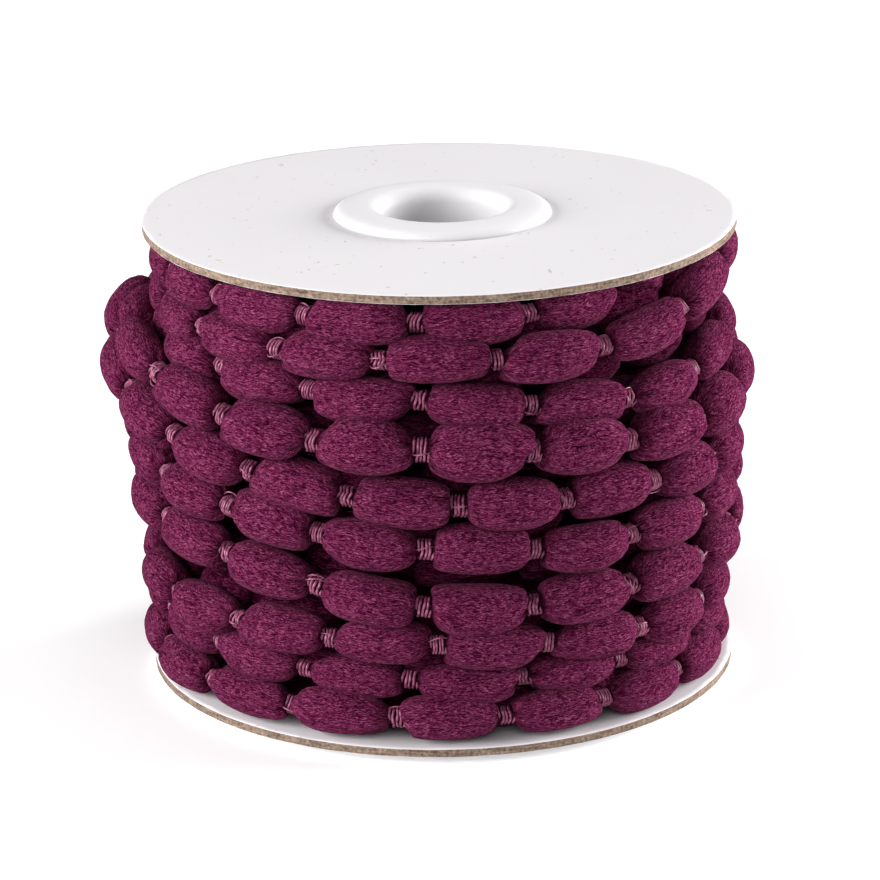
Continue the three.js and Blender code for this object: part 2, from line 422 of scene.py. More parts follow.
def brushed_fibre(start):
    lay, shade = piece_lay(start), piece_shade(start)
    bent = swayed(lay)
    hairs = crossed_hairs(bent)
    tufts = lay.stretched(TUFT_PITCH).noise(1.0, 2.0)
    grain = lay.stretched(GRAIN_PITCH).noise(1.0, 1.0) - 0.5
    tone = hairs * 0.76 + tufts * 0.06 + grain * 0.22 + single_locks(bent) * 0.17
    # Painted shade: thin dark lines for creases and cracks between the locks, deepened by the shade of the
    # piece, which also darkens the gathered ends.
    creased = lay.moved(CREASE_START).noise(CREASE_PATCH, 1.0).band(0.42, 0.6)
    creases = thin_lines(bent.stretched(CREASE_PITCH), CREASE_WIDTH) * creased
    cracked = lay.moved(CRACK_START).noise(CRACK_PATCH, 1.0).band(0.40, 0.57)
    cracks = thin_lines(bent.turned(CRACK_ANGLE).stretched(CRACK_PITCH), CRACK_WIDTH) * cracked
    dark = (creases * 0.6 + cracks * (0.56 + shade * 1.6) + shade).band(0.0, 1.0)
    return start.node("ShaderNodeBsdfPrincipled", {}, {
        "Base Color": dark.mixed(tone.band(0.436, 0.700).ramp(FIBRE_TONES), PAINTED_SHADE_PLUM),
        "Roughness": 0.95, "Specular IOR Level": 0.0, "Normal": hairs.bump(0.6, 0.0003),
        "Sheen Weight": 0.024, "Sheen Roughness": 0.4, "Sheen Tint": NAP_TINT,
    })


FIBRE = new_finish("brushed fibre", brushed_fibre)
print("finish:", FIBRE.name, "with", len(FIBRE.node_tree.nodes), "nodes")

# %% [markdown]
# ## Tying thread
#
# The thread is a twisted filament, smoother and pinker than the fibre, with glints
# where it turns to the light, partly from its gloss and partly painted: slow runs
# of pale glint and dark shade along it. Its twist could be modelled, but a thread
# is under half a millimetre thick, so noise along it in colour and bump is enough.

# %% Tying thread
# The dark end is partly painted shade and the pale end partly painted glint.
THREAD_DARK = (0.064, 0.004, 0.025)
THREAD_PALE = (0.45, 0.128, 0.240)
PLY_PITCH = (2.4, 3.2, 1.0)
RUN_PITCH = (0.9, 0.0, 1.0)


def tying_thread(start):
    lay = piece_lay(start)
    plies = lay.stretched(PLY_PITCH).noise(1.0, 2.0)
    # Painted glints and shade: slow pale and dark runs along the thread, where its turns rise to the light
    # and dive.
    runs = lay.stretched(RUN_PITCH).noise(1.0, 1.0)
    tone = (plies * 0.4 + runs * 0.6).band(0.36, 0.66)
    return start.node("ShaderNodeBsdfPrincipled", {}, {
        "Base Color": tone.mixed(THREAD_DARK, THREAD_PALE),
        "Roughness": 0.34, "Specular IOR Level": 0.32, "Normal": plies.bump(0.4, 0.0001),
    })


THREAD = new_finish("tying thread", tying_thread)
print("finish:", THREAD.name)

# %% [markdown]
# ## Paper and raw board
#
# The boards have a bright paper face with a few tiny specks, and a raw edge in grey
# and brown, where the layers of the board show as flecked stripes. Pictures could
# be laid on them, but noise in the frame of the piece needs no map and has no seam.

# %% Paper and raw board
PAPER_LOW = (0.800, 0.772, 0.795)
PAPER_HIGH = (0.836, 0.810, 0.830)
SPECK = (0.45, 0.42, 0.40)
EDGE_DARK = (0.080, 0.053, 0.039)
EDGE_PALE = (0.315, 0.232, 0.178)
# How many a metre.
MOTTLE_PITCH = 60.0
SPECK_PITCH = 820.0
TOOTH_PITCH = 2500.0
LAYER_PITCH = (260.0, 260.0, 2600.0)
FLECK_PITCH = 1900.0


def white_paper(start):
    place = piece_place(start)
    paper = place.noise(MOTTLE_PITCH, 3.0, 0.6).mixed(PAPER_LOW, PAPER_HIGH)
    specks = place.noise(SPECK_PITCH, 1.0, 0.4).band(0.75, 0.78)
    return start.node("ShaderNodeBsdfPrincipled", {}, {
        "Base Color": (specks * 0.6).mixed(paper, SPECK), "Roughness": 0.6,
        "Specular IOR Level": 0.3, "Normal": place.noise(TOOTH_PITCH, 2.0).bump(0.08, 0.0002),
    })


def board_edge(start):
    place = piece_place(start)
    layers = place.stretched(LAYER_PITCH).noise(1.0, 3.0, 0.6)
    flecks = place.noise(FLECK_PITCH, 2.0)
    tone = (layers * 0.45 + flecks * 0.55).band(0.36, 0.66)
    return start.node("ShaderNodeBsdfPrincipled", {}, {
        "Base Color": tone.mixed(EDGE_DARK, EDGE_PALE), "Roughness": 0.95,
        "Specular IOR Level": 0.1, "Normal": layers.bump(0.6, 0.0002),
    })


PAPER = new_finish("white paper", white_paper)
EDGE = new_finish("board edge", board_edge)
print("finishes:", PAPER.name, "and", EDGE.name)

# %% [markdown]
# ## Satin plastic
#
# The hub is a white satin moulding. Light bounces many times inside its bore, which
# would leave the walls too bright against the grey that shade gives a real one, so
# the steep walls get painted shade from the shade of the piece, a little darker
# than the flat faces.

# %% Satin plastic
PLASTIC_LOW = (0.795, 0.78, 0.795)
PLASTIC_HIGH = (0.815, 0.80, 0.815)
PLASTIC_WALL_SHADE = (0.645, 0.63, 0.65)
CLOUD_PITCH = 45.0
SATIN_PITCH = 500.0


def white_plastic(start):
    place = piece_place(start)
    face = place.noise(CLOUD_PITCH, 2.0).mixed(PLASTIC_LOW, PLASTIC_HIGH)
    return start.node("ShaderNodeBsdfPrincipled", {}, {
        # Painted shade on the steep walls.
        "Base Color": piece_shade(start).mixed(face, PLASTIC_WALL_SHADE),
        "Roughness": 0.48 + place.noise(SATIN_PITCH, 2.0) * 0.12, "Specular IOR Level": 0.1,
    })


PLASTIC = new_finish("white plastic", white_plastic)
print("finish:", PLASTIC.name)

# %% [markdown]
# ## Course of the cord
#
# The cord is wound by hand pressure, so its turns wander: some lift off, some slip
# over their neighbours. A plain helix would look too tidy. So each turn is set out
# at eight bearings, with a height above the outer face of the lower flange and a
# reach from the axis, and a smooth curve joins them. One neck of each turn is
# known, and the others follow in even steps of cord.

# %% Turns and runs
LAP = 360
BEARINGS = (-150, -115, -80, -40, 0, 40, 80, 125)
TURNS = {
    "a": {"girth": 7.6, "neck": -4.5,
          "height": (72.3, 72.2, 72.0, 72.4, 72.6, 72.5, 72.0, 71.6),
          "reach": (47.0, 45.5, 44.8, 45.5, 46.0, 41.5, 37.0, 36.0)},
    "b": {"girth": 7.9, "neck": -11.4,
          "height": (65.5, 66.5, 66.2, 66.4, 66.6, 66.7, 71.6, 72.4),
          "reach": (46.5, 45.5, 45.3, 46.8, 47.6, 47.2, 46.2, 46.4)},
    "c": {"girth": 7.7, "neck": -3.9,
          "height": (64.5, 63.5, 61.8, 60.5, 59.7, 56.3, 57.8, 60.4),
          "reach": (40.0, 42.0, 45.0, 46.0, 46.8, 46.6, 46.6, 47.4)},
    "d": {"girth": 9.7, "neck": -3.7,
          "height": (63.0, 61.5, 59.6, 53.6, 52.1, 49.9, 49.0, 51.8),
          "reach": (40.0, 46.5, 51.4, 49.3, 48.8, 48.6, 48.4, 50.4)},
    "e": {"girth": 8.6, "neck": 3.2,
          "height": (58.0, 58.1, 50.5, 45.3, 42.5, 41.6, 40.0, 42.0),
          "reach": (49.0, 55.6, 52.0, 48.4, 47.8, 47.6, 47.6, 48.6)},
    "f": {"girth": 8.3, "neck": -3.2,
          "height": (46.0, 43.0, 40.0, 38.0, 34.9, 33.5, 33.0, 34.4),
          "reach": (48.0, 49.5, 49.8, 48.4, 47.8, 47.8, 48.0, 48.0)},
    "g": {"girth": 8.3, "neck": -3.7,
          "height": (37.0, 34.0, 32.0, 29.6, 25.1, 24.9, 25.0, 26.0),
          "reach": (48.0, 49.0, 49.3, 48.5, 48.1, 48.1, 48.3, 48.1)},
    "h": {"girth": 7.7, "neck": -1.1,
          "height": (27.0, 21.0, 18.0, 18.4, 18.6, 16.5, 15.6, 16.7),
          "reach": (47.8, 48.2, 48.2, 47.5, 47.6, 47.2, 46.6, 46.8)},
    "i": {"girth": 7.5, "neck": -6.8,
          "height": (18.5, 14.5, 12.8, 12.0, 11.7, 11.1, 11.0, 10.9),
          "reach": (47.3, 47.2, 46.9, 45.7, 45.3, 45.2, 45.3, 45.8)},
    "j": {"girth": 7.5, "neck": -9.4,
          "height": (10.0, 6.5, 5.6, 5.5, 5.5, 5.5, 5.5, 5.5),
          "reach": (47.0, 47.4, 47.7, 47.0, 46.8, 46.5, 45.8, 44.5)},
}
# The two stretches of cord that show: from where to where, and where each runs on to.
RUNS = (
    {"turns": "cba", "step": 18.4, "start": -110, "stop": 70,
     "girth": 7.6, "height": 71.0, "reach": 34.0},
    {"turns": "defghij", "step": 17.6, "start": -125, "stop": 140,
     "girth": 7.4, "height": 5.5, "reach": 42.0},
)
print("turns:", len(TURNS), "in", len(RUNS), "runs")


# %% Curves and necks
def smooth_course(run):
    """Height and reach of a run at any total degrees turned."""
    laps = np.arange(len(run["turns"]))
    degrees = (LAP * laps[:, None] + np.array(BEARINGS)).ravel()
    degrees = np.append(degrees, LAP * len(laps) + BEARINGS[0])
    slopes, values = [], []
    for key in ("height", "reach"):
        value = np.append(np.concatenate([TURNS[turn][key] for turn in run["turns"]]), run[key])
        before = np.maximum(np.arange(len(value)) - 1, 0)
        after = np.minimum(np.arange(len(value)) + 1, len(value) - 1)
        values.append(value)
        slopes.append((value[after] - value[before]) / (degrees[after] - degrees[before]))

    def at(place):
        index = np.clip(np.searchsorted(degrees, place, side="right") - 1, 0, len(degrees) - 2)
        span = degrees[index + 1] - degrees[index]
        t = (place - degrees[index]) / span
        blend = [2 * t**3 - 3 * t**2 + 1, t**3 - 2 * t**2 + t, 3 * t**2 - 2 * t**3, t**3 - t**2]
        return [
            blend[0] * value[index] + blend[1] * span * slope[index]
            + blend[2] * value[index + 1] + blend[3] * span * slope[index + 1]
            for value, slope in zip(values, slopes)
        ]

    return at


def frames(course, degrees):
    """Centre line and the directions along, up and out at these degrees, in millimetres."""
    def place(at):
        height, reach = course(at)
        angle = np.radians(TIDY_SIDE + at)
        return np.stack([reach * np.sin(angle), -reach * np.cos(angle), LOWER_FACE + height], -1)

    centre = place(degrees)
    along = unit(place(degrees + 0.5) - place(degrees - 0.5))
    up = unit(np.cross(centre * (1, 1, 0), along))
    return centre, along, up, np.cross(along, up)


def necks_of(run, course):
    """Total degrees of each neck: even steps of cord between the known neck of each turn."""
    turns, step = run["turns"], run["step"]
    degrees = np.arange(run["start"], LAP * (len(turns) - 1) + run["stop"] + 1.0)
    lengths = lengths_along(frames(course, degrees)[0])
    marks = [LAP * lap + TURNS[turn]["neck"] for lap, turn in enumerate(turns)]
    known = np.interp(marks, degrees, lengths)
    before = np.arange(known[0] - step, 0, -step)[::-1]
    between = [
        np.linspace(first, last, round((last - first) / step), endpoint=False)
        for first, last in zip(known, known[1:])
    ]
    after = np.arange(known[-1], lengths[-1], step)
    return np.interp(np.concatenate([before, *between, after]), lengths, degrees)


print("puffs in each run:", [len(necks_of(run, smooth_course(run))) - 1 for run in RUNS])

# %% [markdown]
# ## Puffs
#
# A puff is a stretch of the brushed tube between two ties: full in the middle, with
# blunt ends that are gathered, notched and seldom square. It could be blown up by a
# cloth simulation, but over 150 of them touch each other here. So each is shaped
# row by row: a barrel with softly rounded corners, a few lumps, pleats and notches
# that die out away from the ties, ends that lean along the cord, and an uneven nap.
# The side against the layer beneath is pressed flatter.

# %% Shape of one puff
ROW_EASE, ROW_EVEN = 0.55, 0.45
BLUNT = (0.48, 0.78)
LEAN = 0.05
SWELL_POWER = (2.0, 2.8)
SWELL_ROUND = 0.76
CORNER_DROP, CORNER_POWER = 0.18, 20
LUMP, LUMP_WAVES, LUMP_LENGTH = 0.021, (1, 2, 3), (0.6, 2.2)
# Fewest and one more than most round an end, and their depth in millimetres.
PLEATS = (((4, 7), 0.46), ((8, 12), 0.30))
PLEAT_FADE, PLEAT_LEVEL = 4.6, 0.75
NOTCHES, NOTCH_DEPTH, NOTCH_WIDTH, NOTCH_FADE = (1, 4), (0.14, 0.42), 0.32, 1.5
NAP = 0.035
SKEW, SKEW_TURN, SKEW_POWER = 0.26, 0.6, 3
# Painted shade in the notches, the pleat valleys and near the ends of a puff, up to a most.
SHADE_NOTCH, SHADE_PLEAT, SHADE_END, SHADE_FREE, SHADE_MOST = 0.9, 0.55, 0.1, 0.06, 0.42
SHADE_FADE = 7.0


def any_phase():
    """A random start about anywhere round a turn."""
    return chance.uniform(0, 6.3)


def barrel_profile(u):
    """Share of the full girth along a puff, from -1 at one tie to 1 at the other."""
    lean = chance.normal(0, LEAN)
    blunt = np.where(u < 0, chance.uniform(*BLUNT), chance.uniform(*BLUNT))
    power = chance.uniform(*SWELL_POWER)
    swell = np.clip(1 - np.abs(u + lean * (1 - u**2)) ** power, 0, 1) ** SWELL_ROUND
    return (blunt + (1 - blunt) * swell) * (1 - CORNER_DROP * np.abs(u) ** CORNER_POWER)


def soft_lumps(share, around):
    """Slow swellings, as shares of the radius."""
    lumps = np.zeros((len(share), len(around)))
    for wave in LUMP_WAVES:
        size = chance.normal(0, LUMP)
        sway = size * np.sin(np.pi * share * chance.uniform(*LUMP_LENGTH) + any_phase())
        lumps += sway[:, None] * np.cos(wave * around + any_phase())[None, :]
    return lumps


def gathered_ends(u, around):
    """Pleats in millimetres, and notches as shares of the radius, at both ends."""
    pleats, notches = np.zeros((2, len(u), len(around)))
    for side in (-1, 1):
        depth = np.exp(-(1 - side * u) * PLEAT_FADE)[:, None]
        counts = [chance.integers(*number) for number, _ in PLEATS]
        for count, (_, size) in zip(counts, PLEATS):
            wave = np.abs(np.sin(0.5 * count * around + any_phase()))
            pleats += size * depth * (wave - PLEAT_LEVEL)[None, :]
        for _ in range(chance.integers(*NOTCHES)):
            turn = np.angle(np.exp(1j * (around - any_phase())))
            cut = np.exp(-(turn / NOTCH_WIDTH) ** 2)[None, :]
            notches += chance.uniform(*NOTCH_DEPTH) * depth**NOTCH_FADE * cut
    return pleats, notches


def puff_shape(girth, rows, around):
    """Share of the length, radius, painted shade and slant over the rows and sides of one puff."""
    t = np.linspace(0, 1, rows)
    share = ROW_EASE * (0.5 - 0.5 * np.cos(np.pi * t)) + ROW_EVEN * t
    u = 2 * share - 1
    barrel = barrel_profile(u)
    lumps = soft_lumps(share, around)
    pleats, notches = gathered_ends(u, around)
    nap = chance.normal(0, NAP, (rows, len(around)))
    nap[1:-1] = 0.5 * nap[1:-1] + 0.25 * (nap[2:] + nap[:-2])
    radii = girth / 2 * barrel[:, None] * (1 + lumps) * (1 - notches) + pleats + nap
    # Painted shade: darker in the notches and pleat valleys, and near the ends.
    ends = np.exp(-(1 - np.abs(u)) * SHADE_FADE)[:, None]
    shade = SHADE_NOTCH * notches - SHADE_PLEAT * pleats - SHADE_FREE + SHADE_END * ends
    shade = np.clip(shade, 0, SHADE_MOST)
    skew = np.where(u < 0, chance.normal(0, SKEW), chance.normal(0, SKEW)) * np.abs(u) ** SKEW_POWER
    slant = skew[:, None] * radii * np.sin(around + chance.normal(0, SKEW_TURN))[None, :]
    return share, radii, shade, slant


print("a puff keeps", BLUNT, "of its girth at its ends")

# %% Shape of a chain of puffs
TIE_WIDTH = 2.95
CORE_SHARE = 0.155
CORE_FLARE = 1.15
PRESS = 0.86
SHIFT = 0.3
# Rows of the bare neck before and after each puff, as shares of half a tie.
NECK_ROWS = (0.0, 0.8, 0.94)
# Painted shade on the bare neck between the turns of thread.
NECK_SHADE = 0.7
LAY_RADIUS, LAY_SPREAD = 4.2, 900


def chain(course, necks, girths, rows, sides):
    """Closed chain of puffs along a course: its grid, its painted shade, and what the loose hairs need."""
    around = np.pi + circle(sides)
    head, tail = len(NECK_ROWS), len(NECK_ROWS) - 1
    degrees, radii, sway, shades, slants = [], [], [], [], []
    for first, last, girth in zip(necks, necks[1:], girths):
        tie = 0.5 * TIE_WIDTH / (np.radians(last - first) * course(first)[1])
        core = np.full((1, sides), CORE_SHARE * girth)
        share, puff, shade, slant = puff_shape(girth, rows, around)
        neck = np.array(NECK_ROWS) * tie
        place = np.concatenate([neck, tie + (1 - 2 * tie) * share, 1 - neck[:0:-1]])
        degrees.append(first + place * (last - first))
        radii.append(np.concatenate([core, core, CORE_FLARE * core, puff, CORE_FLARE * core, core]))
        shades.append(np.pad(shade, ((head, tail), (0, 0)), constant_values=NECK_SHADE))
        slants.append(np.pad(slant, ((head, tail), (0, 0))))
        sway.append(chance.normal(0, SHIFT, 2)[None, :] * (4 * place * (1 - place))[:, None])
    degrees = np.concatenate([*degrees, necks[-1:]])
    radii = np.concatenate([*radii, core])
    shades = np.concatenate([*shades, np.full((1, sides), NECK_SHADE)])
    slants = np.concatenate([*slants, np.zeros((1, sides))])
    sway = np.concatenate([*sway, np.zeros((1, 2))])
    centre, along, up, out = frames(course, degrees)
    level = np.cos(around)[None, :] * np.where(np.cos(around) < 0, PRESS, 1.0)[None, :]
    outward = sway[:, :1] + radii * level
    across = sway[:, 1:] + radii * np.sin(around)[None, :]
    points = centre[:, None, :] + along[:, None, :] * slants[..., None]
    points = points + out[:, None, :] * outward[..., None] + up[:, None, :] * across[..., None]
    steps = np.linalg.norm(np.diff(points, axis=0), axis=-1).mean(1)
    length = np.append(0, np.cumsum(steps)) + chance.uniform(0, LAY_SPREAD)
    lay = np.concatenate([grid_lay(length, LAY_RADIUS * closed(around)), cap_lay(sides)])
    hairs = {"points": points, "along": along, "out": out, "up": up, "around": around}
    return (points.reshape(-1, 3), tube_faces(len(degrees), sides, False), lay), shades, hairs


print("ties are", TIE_WIDTH, "mm wide")

# %% [markdown]
# ## Outer turns
#
# The ten turns that show are two runs of cord. Each run could be one mesh, but that
# would be too heavy for a single piece, so it is cut at necks into chains of up to
# seventeen puffs. Each puff is a little fuller or slimmer than its neighbours.

# %% Outer turns
ROWS, SIDES = 25, 44
CHAIN_PUFFS = 17
FULLNESS, FULLNESS_SPREAD, FULLNESS_RANGE = 1.03, 0.03, (0.95, 1.09)
chains, neck_spots = [], []
for run in RUNS:
    course = smooth_course(run)
    necks = necks_of(run, course)
    laps = [run["start"], *[LAP * lap for lap in range(len(run["turns"]))]]
    steady = [run["girth"], *[TURNS[turn]["girth"] for turn in run["turns"]]]
    girths = np.interp((necks[:-1] + necks[1:]) / 2, laps, steady)
    girths = girths * np.clip(chance.normal(FULLNESS, FULLNESS_SPREAD, len(girths)), *FULLNESS_RANGE)
    for first in range(0, len(girths), CHAIN_PUFFS):
        last = min(first + CHAIN_PUFFS, len(girths))
        grid, shade, hairs = chain(course, necks[first:last + 1], girths[first:last], ROWS, SIDES)
        piece = new_piece(f"puffs_{len(chains) + 1:02d}", grid, [FIBRE], shade=shade)
        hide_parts("trim_roll")
        chains.append(hairs)
    neck_spots += zip(*frames(course, necks), np.append(girths, girths[-1]))
print("outer chains:", len(chains), "necks:", len(neck_spots))

# %% [markdown]
# ## Inner turns
#
# Between the outer turns a lower layer of the same cord shows as dark puffs. It
# climbs the other way, as a layer does when the winding turns back at a flange. A
# plain course and fewer rows are enough here, since only slivers of it are seen,
# and a deeper shade stands for the little light that reaches it.

# %% Inner turns
INNER_REACH, INNER_WANDER, INNER_WAVES = 42.2, 0.5, 3.3
INNER_PITCH = 8.0
INNER_FOOT, INNER_RISE = 5.6, 66.8
INNER_STEP = 23.3
INNER_GIRTH, INNER_SPREAD, INNER_RANGE = 7.8, 0.04, (0.92, 1.08)
INNER_ROWS, INNER_SIDES = 12, 20
INNER_SHADE, INNER_SHADE_MOST = 0.6, 0.92
LOOP_BEARING, LOOP_HEIGHT, LOOP_BULGE = -92, 54.0, 4.2
LOOP_DEGREES, LOOP_TALL = 32, 9


def inner_course(degrees):
    """A helix with a slow wander, and a bulge under the slack loop of the outer turns."""
    height = INNER_FOOT + INNER_PITCH * degrees / LAP
    bearing = (degrees - LOOP_BEARING + LAP // 2) % LAP - LAP // 2
    fade = (bearing / LOOP_DEGREES) ** 2 + ((height - LOOP_HEIGHT) / LOOP_TALL) ** 2
    bulge = LOOP_BULGE * np.exp(-fade)
    return height, INNER_REACH + bulge + INNER_WANDER * np.sin(np.radians(INNER_WAVES * degrees))


inner_necks = np.arange(0.0, LAP * INNER_RISE / INNER_PITCH, INNER_STEP)
inner_spread = chance.normal(1.0, INNER_SPREAD, len(inner_necks) - 1)
inner_girths = INNER_GIRTH * np.clip(inner_spread, *INNER_RANGE)
grid, shade, _ = chain(inner_course, inner_necks, inner_girths, INNER_ROWS, INNER_SIDES)
shade = np.clip(shade + INNER_SHADE, 0, INNER_SHADE_MOST)
inner = new_piece("inner_puffs", grid, [FIBRE], shade=shade)
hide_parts("trim_roll")
print("inner puffs:", len(inner_girths))

# %% [markdown]
# ## Wound core
#
# Behind both layers lie more turns, of which only dark glimpses are left. More
# chains of puffs would cost much and show little, so one ridged drum stands for
# them, closed at both ends down to the hub.

# %% Wound core
CORE_STEPS = 180
CORE_RADIUS, CORE_RIDGE, CORE_CLIMB = 40.6, 1.1, 1.3
CORE_TALL, CORE_ROWS, CORE_GAP, CORE_LIP, CORE_HOLE = 73.4, 92, 0.4, 0.1, 1.0
CORE_SHADE = 0.9
LAY_OF_CORE = 42
heights = np.linspace(CORE_GAP, CORE_TALL, CORE_ROWS)
heights = np.concatenate([[CORE_GAP - CORE_LIP], heights, [CORE_TALL + CORE_LIP]])
heights = heights + LOWER_FACE + BOARD
angle = circle(CORE_STEPS)
ridge = np.abs(np.sin(np.pi * (heights[:, None] - angle[None, :] * CORE_CLIMB) / INNER_PITCH))
radius = CORE_RADIUS + CORE_RIDGE * ridge
radius[[0, -1]] = TUBE_RADIUS + CORE_HOLE
level = np.repeat(heights[:, None], CORE_STEPS, 1)
points = np.stack([radius * np.cos(angle), radius * np.sin(angle), level], -1)
faces = grid_quads(len(heights), CORE_STEPS)[:, ::-1]
lay = flipped(grid_lay(heights, LAY_OF_CORE * closed(angle))[:, ::-1])
# Painted shade, near full all over, for the little light that reaches so deep.
shade = np.full(radius.shape, CORE_SHADE)
core = new_piece("wound_core", (points.reshape(-1, 3), faces, lay), [FIBRE], shade=shade)
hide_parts("trim_roll")
print("core faces:", len(faces))

# %% [markdown]
# ## Ties
#
# Each neck is bound by four or five turns of thread that sit side by side and wave
# in step, because each turn settles against the one before. Now and then a finer
# thread jumps straight from one puff to the next. A curve with a bevel could make
# each of them, but there are hundreds, so they are swept tubes, joined into one
# piece. Where a fifth turn has to fit, the thread is drawn a little thinner.

# %% Swept threads
THREAD_SIDES = 6
THREAD_TIP = 0.35


def swept(path, normal, radius):
    """A thin closed tube along a path, with its first side towards the normal."""
    tangent = unit(np.gradient(path, axis=0))
    normal = unit(normal - (normal * tangent).sum(-1, keepdims=True) * tangent)
    side = np.cross(tangent, normal)
    angle = circle(THREAD_SIDES)
    width = np.full(len(path), radius)
    width[[0, -1]] *= THREAD_TIP
    ring = np.cos(angle)[None, :, None] * normal[:, None, :]
    ring = ring + np.sin(angle)[None, :, None] * side[:, None, :]
    points = path[:, None, :] + width[:, None, None] * ring
    lay = flipped(grid_lay(lengths_along(path), radius * closed(angle)))
    faces = tube_faces(len(path), THREAD_SIDES, True)
    return points.reshape(-1, 3), faces, np.concatenate([lay, cap_lay(THREAD_SIDES)])


print("threads have", THREAD_SIDES, "sides")

# %% Tying threads
THREAD_RADIUS = 0.225
TIE_TURNS, TIE_ODDS, TIE_ROWS = (4, 5), (0.8, 0.2), 19
TIE_MARGIN = 0.5
WAVES = (2.0, 3.0, 4.0, 3.25)
KINK, TILT, DRIFT, DRIFT_PITCH, LIFT, BED = (0.03, 0.15), 0.18, 0.05, 0.37, 0.07, 0.95
STRAY_ODDS, STRAY_ROWS = (0.5, 0.38, 0.12), 11
STRAY_RADIUS, STRAY_LIFT, STRAY_REACH = (0.09, 0.13), (0.45, 1.1), (1.3, 2.1)
STRAY_SIDE, STRAY_SPREAD, STRAY_SLANT = 0.55, 0.7, (-0.25, 0.25)
STRAY_GAP, STRAY_ROUND, STRAY_SHIFT = 0.1, 2.4, 0.2


def lashing(centre, along, up, out, core):
    """The turns of thread round one neck."""
    turns = chance.choice(TIE_TURNS, p=TIE_ODDS)
    turned = np.linspace(0, FULL * turns, TIE_ROWS * turns + 1)
    wave = chance.choice(WAVES) * turned + any_phase()
    kink = chance.uniform(*KINK) * np.arcsin(np.sin(wave))
    tilt = chance.normal(0, TILT) * np.cos(turned + any_phase())
    drift = DRIFT * np.sin(DRIFT_PITCH * turned + any_phase())
    offset = (TIE_WIDTH - TIE_MARGIN) * (turned / turned[-1] - 0.5) + kink + tilt + drift
    radius = core + BED * THREAD_RADIUS + LIFT * np.cos(2 * wave)
    spoke = spokes(turned, out, up)
    path = centre + offset[:, None] * along + radius[:, None] * spoke
    return swept(path, spoke, THREAD_RADIUS * TIE_TURNS[0] / turns)


def stray(centre, along, up, out, core):
    """A finer thread that arches from one puff to the next."""
    s = np.linspace(-1, 1, STRAY_ROWS)
    arch = core + STRAY_GAP + chance.uniform(*STRAY_LIFT) * (1 - np.abs(s) ** STRAY_ROUND)
    angle = chance.normal(STRAY_SIDE, STRAY_SPREAD) + s * chance.uniform(*STRAY_SLANT)
    spoke = spokes(angle, out, up)
    reach = chance.uniform(*STRAY_REACH) * s + chance.normal(0, STRAY_SHIFT)
    path = centre + reach[:, None] * along + arch[:, None] * spoke
    return swept(path, spoke, chance.uniform(*STRAY_RADIUS))


threads = []
for *spot, girth in neck_spots:
    threads.append(lashing(*spot, CORE_SHARE * girth))
    for _ in range(chance.choice(len(STRAY_ODDS), p=STRAY_ODDS)):
        threads.append(stray(*spot, CORE_SHARE * girth))
ties = new_piece("tying_threads", joined(threads), [THREAD])
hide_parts("trim_roll")
print("threads:", len(threads), "faces:", len(ties.data.polygons))

# %% [markdown]
# ## Loose hairs
#
# Brushed fibre sheds a haze of short hairs that lie almost flat on the puffs and
# break up their outlines. Blender's hair could grow them, but it leaves no mesh.
# So they are thin ribbons, placed at random on the sides of the puffs that can be
# seen and joined into one piece.

# %% Loose hairs
HAIRS_PER_PUFF = 80
HAIR_STEPS = (0.0, 0.4, 0.75, 1.0)
HAIR_WIDTHS = (0.024, 0.022, 0.018, 0.006)
HAIR_LENGTH, HAIR_LIFT, HAIR_CURL, HAIR_DRIFT, HAIR_SINK = (0.6, 2.0), (0.04, 0.24), 2.2, 0.22, 0.03
HAIR_LAY_ALONG, HAIR_LAY_AROUND, HAIR_LAY_SPREAD = (0.0, 0.6, 1.1, 1.5), (0.0, 0.05), 40
PUFF_ROWS = ROWS + 2 * len(NECK_ROWS) - 1
# Rows at each end of a chain, and one part in so many of its sides, that have no hairs.
BARE_ROWS, BARE_PART = 3, 6


def hair_ribbons(hairs):
    """The loose hairs of one chain."""
    points, sides = hairs["points"], len(hairs["around"])
    number = HAIRS_PER_PUFF * (len(points) // PUFF_ROWS)
    row = chance.integers(BARE_ROWS, len(points) - BARE_ROWS, number)
    side = chance.integers(sides // BARE_PART, sides - sides // BARE_PART, number)
    normal = spokes(hairs["around"][side], hairs["out"][row], hairs["up"][row])
    along = hairs["along"][row] * chance.choice([-1, 1], number)[:, None]
    across = np.cross(normal, along)
    length = chance.uniform(*HAIR_LENGTH, number)[:, None]
    lift = chance.uniform(*HAIR_LIFT, number)[:, None]
    drift = chance.normal(0, HAIR_DRIFT, number)[:, None]
    strips = []
    for s, width in zip(HAIR_STEPS, HAIR_WIDTHS):
        raised = lift * np.sin(HAIR_CURL * s) - HAIR_SINK
        place = points[row, side] + along * length * s + normal * raised
        place = place + across * drift * length * s * s
        strips.append(np.stack([place - width * across, place + width * across], 1))
    one = grid_quads(len(HAIR_STEPS), 2, seam=False)
    faces = (one[None] + 2 * len(HAIR_STEPS) * np.arange(number)[:, None, None]).reshape(-1, 4)
    lay = np.tile(grid_lay(np.array(HAIR_LAY_ALONG), np.array(HAIR_LAY_AROUND)), (number, 1))
    lay += np.repeat(chance.uniform(0, HAIR_LAY_SPREAD, (number, 2)), 4 * len(one), axis=0)
    return np.stack(strips, 1).reshape(-1, 3), faces, lay


ribbons = [hair_ribbons(hairs) for hairs in chains]
fuzz = new_piece("loose_hairs", joined(ribbons), [FIBRE])
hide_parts("trim_roll")
print("hairs:", len(fuzz.data.polygons) // (len(HAIR_STEPS) - 1))

# %% [markdown]
# ## Flanges
#
# Each flange is a disc cut from greyboard with paper on both faces. The cut is not
# quite clean: the edge is a little rough and the paper turns over it. A bevelled
# cylinder would be too crisp, so the disc is a ring of rows turned about the axis,
# with an uneven edge and a small warp that grows towards the rim.

